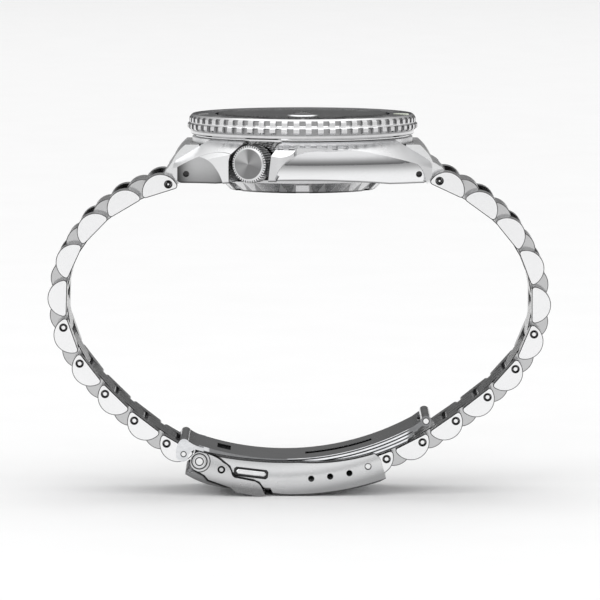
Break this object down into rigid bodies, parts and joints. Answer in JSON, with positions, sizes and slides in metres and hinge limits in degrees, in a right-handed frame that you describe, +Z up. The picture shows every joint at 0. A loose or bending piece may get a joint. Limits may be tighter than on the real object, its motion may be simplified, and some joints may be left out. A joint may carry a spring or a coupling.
{
  "type": "wristwatch",
  "caption": "Automatic dive-style wristwatch with a toothed rotating bezel, offset crown, half-moon link bracelet and a folding clasp with a flip lock.",
  "frame": {"origin": "centre of the wrist opening, where the wrist's axis passes", "axes": "+Z up through the dial, +Y towards 12 o'clock, +X towards the crown side along the wrist's axis"},
  "size_m": [0.0443, 0.0902, 0.0691],
  "materials": {
    "case_steel": "satin top with polished flanks",
    "back_steel": "polished",
    "back_glass": "clear",
    "crystal_glass": "clear",
    "gasket": "matt",
    "chapter": "satin",
    "spring_steel": "satin",
    "dial_face": "matt",
    "markers": "luminous",
    "movement_plate": "nickelled",
    "holder": "matt",
    "wheel_brass": "polished",
    "hairspring": "blued",
    "stem_steel": "turned",
    "pin_steel": "polished",
    "end_link_steel": "satin",
    "bezel_steel": "polished",
    "bezel_insert": "anodised",
    "date_disc": "matt",
    "hands": "polished",
    "rotor": "satin",
    "crown_steel": "turned",
    "bracelet_steel": "polished edges, satin faces",
    "cover_steel": "brushed",
    "blade_steel": "mirror",
    "lock_steel": "brushed",
    "button_steel": "polished"
  },
  "bodies": {
    "case": {"case_middle": "case_steel", "caseback_ring": "back_steel", "caseback_window": "back_glass", "crystal": "crystal_glass", "crystal_gasket": "gasket", "chapter_ring": "chapter", "bezel_click_spring": "spring_steel", "dial": "dial_face", "hour_markers": "markers", "cannon_arbors": "movement_plate", "movement_holder": "holder", "mainplate": "movement_plate", "gear_train": "wheel_brass", "train_bridge": "movement_plate", "hairspring": "hairspring", "balance_cock": "movement_plate", "crown_tube": "stem_steel", "lug_spring_bars": "pin_steel", "end_link_12": "end_link_steel", "end_link_6": "end_link_steel"},
    "bezel": {"bezel_ring": "bezel_steel", "bezel_insert": "bezel_insert"},
    "date": {"date_disc": "date_disc"},
    "hour": {"hour_hand": "hands"},
    "minute": {"minute_hand": "hands"},
    "seconds": {"seconds_hand": "hands"},
    "balance": {"balance_wheel": "wheel_brass"},
    "rotor": {"winding_rotor": "rotor"},
    "stem": {"winding_stem": "stem_steel"},
    "crown": {"crown": "crown_steel"},
    "link_12_01": {"link_12_01": "bracelet_steel"},
    "link_12_02": {"link_12_02": "bracelet_steel"},
    "link_12_03": {"link_12_03": "bracelet_steel"},
    "link_12_04": {"link_12_04": "bracelet_steel"},
    "link_12_05": {"link_12_05": "bracelet_steel"},
    "link_12_06": {"link_12_06": "bracelet_steel"},
    "link_12_07": {"link_12_07": "bracelet_steel"},
    "link_12_08": {"link_12_08": "bracelet_steel"},
    "link_12_09": {"link_12_09": "bracelet_steel"},
    "link_12_10": {"link_12_10": "bracelet_steel"},
    "link_12_11": {"link_12_11": "bracelet_steel"},
    "clasp_cover": {"clasp_cover": "cover_steel", "clasp_pivot_pin": "pin_steel", "clasp_spring_bar": "pin_steel"},
    "link_6_01": {"link_6_01": "bracelet_steel"},
    "link_6_02": {"link_6_02": "bracelet_steel"},
    "link_6_03": {"link_6_03": "bracelet_steel"},
    "link_6_04": {"link_6_04": "bracelet_steel"},
    "link_6_05": {"link_6_05": "bracelet_steel"},
    "link_6_06": {"link_6_06": "bracelet_steel"},
    "link_6_07": {"link_6_07": "bracelet_steel"},
    "link_6_08": {"link_6_08": "bracelet_steel"},
    "link_6_09": {"link_6_09": "bracelet_steel"},
    "link_6_10": {"link_6_10": "bracelet_steel"},
    "clasp_inner_blade": {"clasp_inner_blade": "blade_steel", "clasp_hinge_pins": "pin_steel"},
    "clasp_middle_blade": {"clasp_middle_blade": "blade_steel"},
    "safety_lock": {"safety_lock": "lock_steel"},
    "button_near": {"clasp_button_near": "button_steel"},
    "button_far": {"clasp_button_far": "button_steel"}
  },
  "joints": [
    {"name": "bezel_turn", "type": "hinge", "parent": "case", "child": "bezel", "pos_m": [0, 0, 0.034], "axis": [0, 0, 1], "continuous": true},
    {"name": "seconds_sweep", "type": "hinge", "parent": "case", "child": "seconds", "pos_m": [0, 0, 0.0336], "axis": [0, 0, -1], "continuous": true},
    {"name": "minute_turn", "type": "hinge", "parent": "case", "child": "minute", "pos_m": [0, 0, 0.0333], "axis": [0, 0, -1], "continuous": true},
    {"name": "hour_turn", "type": "hinge", "parent": "case", "child": "hour", "pos_m": [0, 0, 0.033], "axis": [0, 0, -1], "continuous": true},
    {"name": "date_turn", "type": "hinge", "parent": "case", "child": "date", "pos_m": [0, 0, 0.0318], "axis": [0, 0, -1], "continuous": true},
    {"name": "balance_swing", "type": "hinge", "parent": "case", "child": "balance", "pos_m": [0.0042, -0.0058, 0.0276], "axis": [0, 0, 1], "range_deg": [-135, 135], "stiffness_Nm_per_rad": 0.0000007},
    {"name": "rotor_swing", "type": "hinge", "parent": "case", "child": "rotor", "pos_m": [0, 0, 0.0254], "axis": [0, 0, 1], "continuous": true},
    {"name": "crown_pull", "type": "slide", "parent": "case", "child": "stem", "axis": [0.9026, -0.4305, 0], "range_m": [0, 0.0014]},
    {"name": "crown_turn", "type": "hinge", "parent": "stem", "child": "crown", "pos_m": [0.01877, -0.00895, 0.0281], "axis": [0.9026, -0.4305, 0], "continuous": true},
    {"name": "hinge_12_01", "type": "hinge", "parent": "case", "child": "link_12_01", "pos_m": [0, 0.0245, 0.0245], "axis": [1, 0, 0], "range_deg": [0, 16.36]},
    {"name": "hinge_12_02", "type": "hinge", "parent": "link_12_01", "child": "link_12_02", "pos_m": [0, 0.0308, 0.02118], "axis": [1, 0, 0], "range_deg": [0, 11.85]},
    {"name": "hinge_12_03", "type": "hinge", "parent": "link_12_02", "child": "link_12_03", "pos_m": [0, 0.03627, 0.01663], "axis": [1, 0, 0], "range_deg": [-5.98, 0]},
    {"name": "hinge_12_04", "type": "hinge", "parent": "link_12_03", "child": "link_12_04", "pos_m": [0, 0.0403, 0.01078], "axis": [1, 0, 0], "range_deg": [-6.02, 0]},
    {"name": "hinge_12_05", "type": "hinge", "parent": "link_12_04", "child": "link_12_05", "pos_m": [0, 0.04223, 0.00394], "axis": [1, 0, 0], "range_deg": [-6.02, 0]},
    {"name": "hinge_12_06", "type": "hinge", "parent": "link_12_05", "child": "link_12_06", "pos_m": [0, 0.04152, -0.00312], "axis": [1, 0, 0], "range_deg": [-6.02, 0]},
    {"name": "hinge_12_07", "type": "hinge", "parent": "link_12_06", "child": "link_12_07", "pos_m": [0, 0.03821, -0.0094], "axis": [1, 0, 0], "range_deg": [0, 25.46]},
    {"name": "hinge_12_08", "type": "hinge", "parent": "link_12_07", "child": "link_12_08", "pos_m": [0, 0.03321, -0.01448], "axis": [1, 0, 0], "range_deg": [0, 18.02]},
    {"name": "hinge_12_09", "type": "hinge", "parent": "link_12_08", "child": "link_12_09", "pos_m": [0, 0.02754, -0.0188], "axis": [1, 0, 0], "range_deg": [0, 11.02]},
    {"name": "hinge_12_10", "type": "hinge", "parent": "link_12_09", "child": "link_12_10", "pos_m": [0, 0.02156, -0.02268], "axis": [1, 0, 0], "range_deg": [0, 16.02]},
    {"name": "hinge_12_11", "type": "hinge", "parent": "link_12_10", "child": "link_12_11", "pos_m": [0, 0.01512, -0.02572], "axis": [1, 0, 0], "range_deg": [0, 15.02]},
    {"name": "cover_hinge", "type": "hinge", "parent": "link_12_11", "child": "clasp_cover", "pos_m": [0, 0.01177, -0.02694], "axis": [1, 0, 0], "range_deg": [-28.33, 0]},
    {"name": "hinge_6_01", "type": "hinge", "parent": "case", "child": "link_6_01", "pos_m": [0, -0.024, 0.0239], "axis": [1, 0, 0], "range_deg": [0, 6.02]},
    {"name": "hinge_6_02", "type": "hinge", "parent": "link_6_01", "child": "link_6_02", "pos_m": [0, -0.03066, 0.02138], "axis": [1, 0, 0], "range_deg": [0, 6.02]},
    {"name": "hinge_6_03", "type": "hinge", "parent": "link_6_02", "child": "link_6_03", "pos_m": [0, -0.03654, 0.01737], "axis": [1, 0, 0], "range_deg": [0, 6.02]},
    {"name": "hinge_6_04", "type": "hinge", "parent": "link_6_03", "child": "link_6_04", "pos_m": [0, -0.04106, 0.01189], "axis": [1, 0, 0], "range_deg": [0, 6]},
    {"name": "hinge_6_05", "type": "hinge", "parent": "link_6_04", "child": "link_6_05", "pos_m": [0, -0.04334, 0.00518], "axis": [1, 0, 0], "range_deg": [0, 5.5]},
    {"name": "hinge_6_06", "type": "hinge", "parent": "link_6_05", "child": "link_6_06", "pos_m": [0, -0.04287, -0.00191], "axis": [1, 0, 0], "range_deg": [-8.41, 0]},
    {"name": "hinge_6_07", "type": "hinge", "parent": "link_6_06", "child": "link_6_07", "pos_m": [0, -0.03998, -0.0084], "axis": [1, 0, 0], "range_deg": [-6.92, 0]},
    {"name": "hinge_6_08", "type": "hinge", "parent": "link_6_07", "child": "link_6_08", "pos_m": [0, -0.03545, -0.0139], "axis": [1, 0, 0], "range_deg": [-3.3, 0]},
    {"name": "hinge_6_09", "type": "hinge", "parent": "link_6_08", "child": "link_6_09", "pos_m": [0, -0.03021, -0.01874], "axis": [1, 0, 0], "range_deg": [-1.04, 0]},
    {"name": "hinge_6_10", "type": "hinge", "parent": "link_6_09", "child": "link_6_10", "pos_m": [0, -0.02443, -0.0229], "axis": [1, 0, 0], "range_deg": [-1.37, 0]},
    {"name": "blade_hinge", "type": "hinge", "parent": "link_6_10", "child": "clasp_inner_blade", "pos_m": [0, -0.02136, -0.02471], "axis": [1, 0, 0], "range_deg": [-12.31, 0]},
    {"name": "clasp_fold", "type": "hinge", "parent": "clasp_inner_blade", "child": "clasp_middle_blade", "pos_m": [0, 0.0222, -0.0189], "axis": [1, 0, 0], "range_deg": [0, 75]},
    {"name": "lock_flip", "type": "hinge", "parent": "clasp_cover", "child": "safety_lock", "pos_m": [0, -0.0185, -0.0259], "axis": [-1, 0, 0], "range_deg": [0, 100]},
    {"name": "button_press_near", "type": "slide", "parent": "clasp_cover", "child": "button_near", "axis": [-1, 0, 0], "range_m": [0, 0.0006], "stiffness_N_per_m": 900},
    {"name": "button_press_far", "type": "slide", "parent": "clasp_cover", "child": "button_far", "axis": [1, 0, 0], "range_m": [0, 0.0006], "stiffness_N_per_m": 900}
  ],
  "couplings": [
    {"joint": "minute_turn", "follows": "seconds_sweep", "ratio": 0.016667},
    {"joint": "hour_turn", "follows": "seconds_sweep", "ratio": 0.0013889},
    {"joint": "hinge_12_01", "follows": "clasp_fold", "ratio": 0.21788},
    {"joint": "hinge_12_02", "follows": "clasp_fold", "ratio": 0.1577},
    {"joint": "hinge_12_03", "follows": "clasp_fold", "ratio": -0.079427},
    {"joint": "hinge_12_04", "follows": "clasp_fold", "ratio": -0.079998},
    {"joint": "hinge_12_05", "follows": "clasp_fold", "ratio": -0.079994},
    {"joint": "hinge_12_06", "follows": "clasp_fold", "ratio": -0.079988},
    {"joint": "hinge_12_07", "follows": "clasp_fold", "ratio": 0.33918},
    {"joint": "hinge_12_08", "follows": "clasp_fold", "ratio": 0.24},
    {"joint": "hinge_12_09", "follows": "clasp_fold", "ratio": 0.14667},
    {"joint": "hinge_12_10", "follows": "clasp_fold", "ratio": 0.21333},
    {"joint": "hinge_12_11", "follows": "clasp_fold", "ratio": 0.2},
    {"joint": "cover_hinge", "follows": "clasp_fold", "ratio": -0.37742},
    {"joint": "hinge_6_01", "follows": "clasp_fold", "ratio": 0.079998},
    {"joint": "hinge_6_02", "follows": "clasp_fold", "ratio": 0.079998},
    {"joint": "hinge_6_03", "follows": "clasp_fold", "ratio": 0.079995},
    {"joint": "hinge_6_04", "follows": "clasp_fold", "ratio": 0.0798},
    {"joint": "hinge_6_05", "follows": "clasp_fold", "ratio": 0.073051},
    {"joint": "hinge_6_06", "follows": "clasp_fold", "ratio": -0.11181},
    {"joint": "hinge_6_07", "follows": "clasp_fold", "ratio": -0.092041},
    {"joint": "hinge_6_08", "follows": "clasp_fold", "ratio": -0.043791},
    {"joint": "hinge_6_09", "follows": "clasp_fold", "ratio": -0.013559},
    {"joint": "hinge_6_10", "follows": "clasp_fold", "ratio": -0.018024},
    {"joint": "blade_hinge", "follows": "clasp_fold", "ratio": -0.1639}
  ]
}
